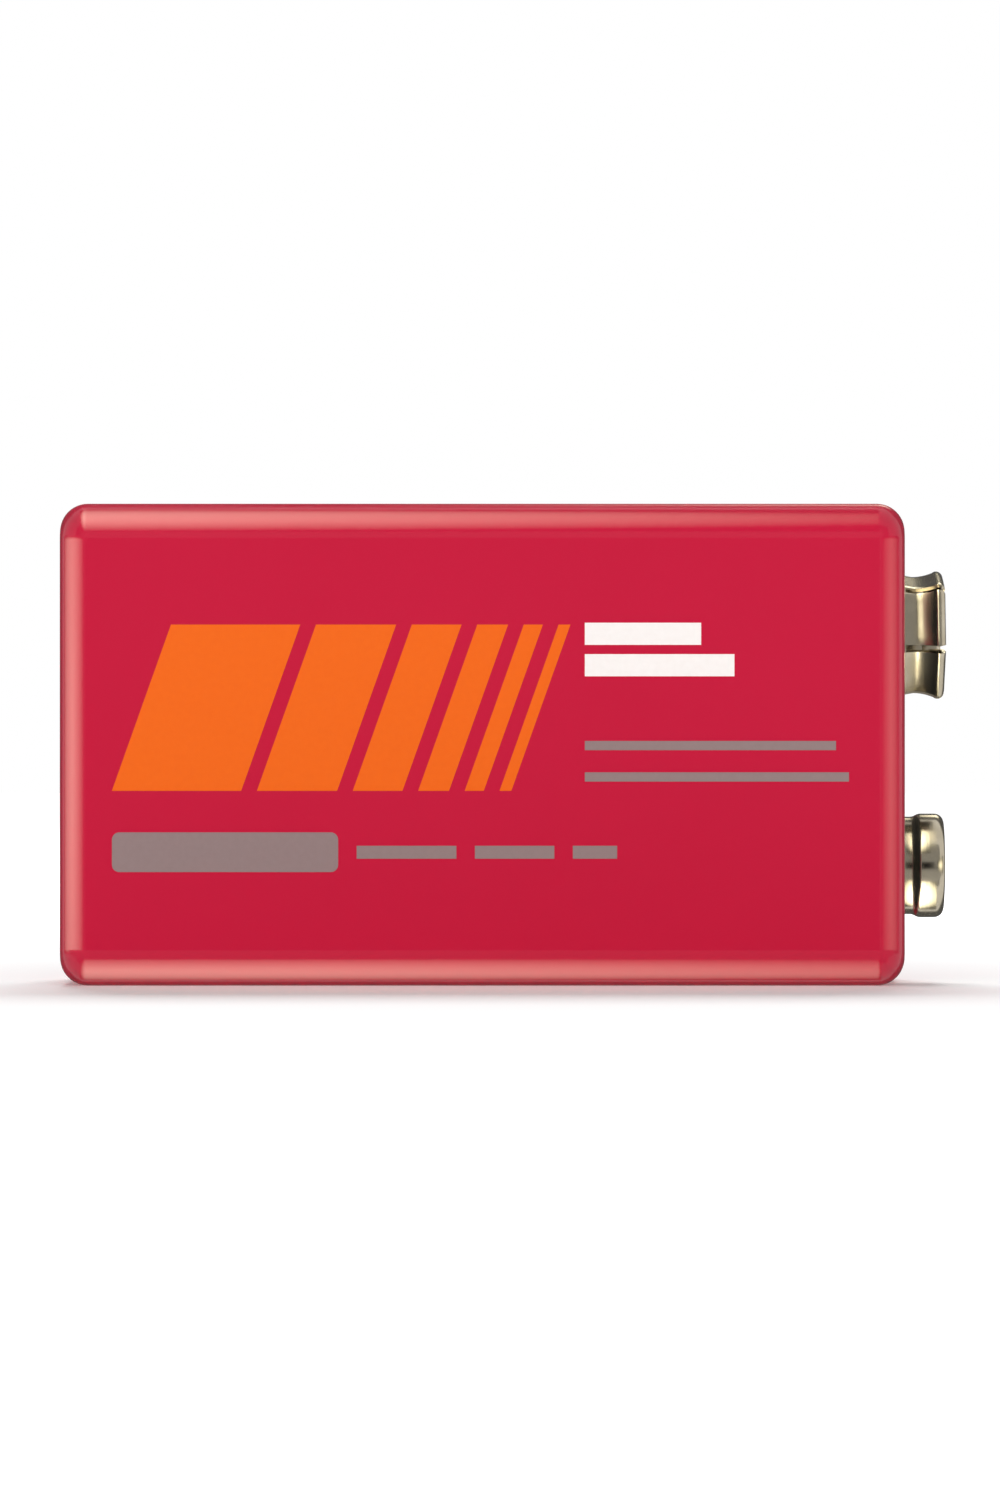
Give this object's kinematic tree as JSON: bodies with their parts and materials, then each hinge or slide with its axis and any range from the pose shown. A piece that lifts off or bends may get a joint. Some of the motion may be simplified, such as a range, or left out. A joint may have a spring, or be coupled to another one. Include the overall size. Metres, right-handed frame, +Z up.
{
  "type": "nine volt battery",
  "caption": "Layer battery in a rimmed tinplate jacket, with a snap stud and a snap socket side by side on one end.",
  "frame": {"origin": "under the middle of the battery, on the long narrow side that it lies on", "axes": "+X from the base to the terminals, +Z up across the width, -Y out of the printed front"},
  "size_m": [0.0484, 0.0168, 0.0262],
  "materials": {
    "red_lacquered_tinplate": "glossy red lacquer on tinplate",
    "orange_ink": "printed and lacquered over",
    "white_ink": "printed and lacquered over",
    "grey_ink": "printed and lacquered over",
    "black_moulded_plastic": "moulded, fine grain",
    "nickel_plated_steel": "nickel plate, drawn and polished",
    "nickel_plated_brass": "nickel plate",
    "tinned_strip": "tinned, rolled",
    "moulded_tray": "moulded, natural colour",
    "grey_board": "pressed board",
    "kraft_paper": "wound paper",
    "wax": "dipped wax",
    "cell_band_plastic": "moulded, cloudy",
    "zinc_and_carbon": "rolled zinc with a carbon coat",
    "wet_separator_paper": "coated paper",
    "tray_paper": "thin folded paper",
    "black_mix": "pressed powder"
  },
  "bodies": {
    "root": {"metal_jacket": "red_lacquered_tinplate", "top_plate": "black_moulded_plastic", "bottom_plate": "black_moulded_plastic", "positive_stud": "nickel_plated_steel", "negative_socket": "nickel_plated_steel", "positive_rivet": "nickel_plated_brass", "negative_rivet": "nickel_plated_brass", "positive_tab": "tinned_strip", "negative_strip": "tinned_strip", "top_contact_plate": "tinned_strip", "top_spacer": "moulded_tray", "bottom_card": "grey_board", "jacket_liner": "kraft_paper", "wax_coat": "wax", "print_orange": "orange_ink", "print_white": "white_ink", "print_grey": "grey_ink", "cell_1_band": "cell_band_plastic", "cell_1_electrode": "zinc_and_carbon", "cell_1_wet_paper": "wet_separator_paper", "cell_1_paper_tray": "tray_paper", "cell_1_mix_cake": "black_mix", "cell_2_band": "cell_band_plastic", "cell_2_electrode": "zinc_and_carbon", "cell_2_wet_paper": "wet_separator_paper", "cell_2_paper_tray": "tray_paper", "cell_2_mix_cake": "black_mix", "cell_3_band": "cell_band_plastic", "cell_3_electrode": "zinc_and_carbon", "cell_3_wet_paper": "wet_separator_paper", "cell_3_paper_tray": "tray_paper", "cell_3_mix_cake": "black_mix", "cell_4_band": "cell_band_plastic", "cell_4_electrode": "zinc_and_carbon", "cell_4_wet_paper": "wet_separator_paper", "cell_4_paper_tray": "tray_paper", "cell_4_mix_cake": "black_mix", "cell_5_band": "cell_band_plastic", "cell_5_electrode": "zinc_and_carbon", "cell_5_wet_paper": "wet_separator_paper", "cell_5_paper_tray": "tray_paper", "cell_5_mix_cake": "black_mix", "cell_6_band": "cell_band_plastic", "cell_6_electrode": "zinc_and_carbon", "cell_6_wet_paper": "wet_separator_paper", "cell_6_paper_tray": "tray_paper", "cell_6_mix_cake": "black_mix"}
  },
  "joints": []
}
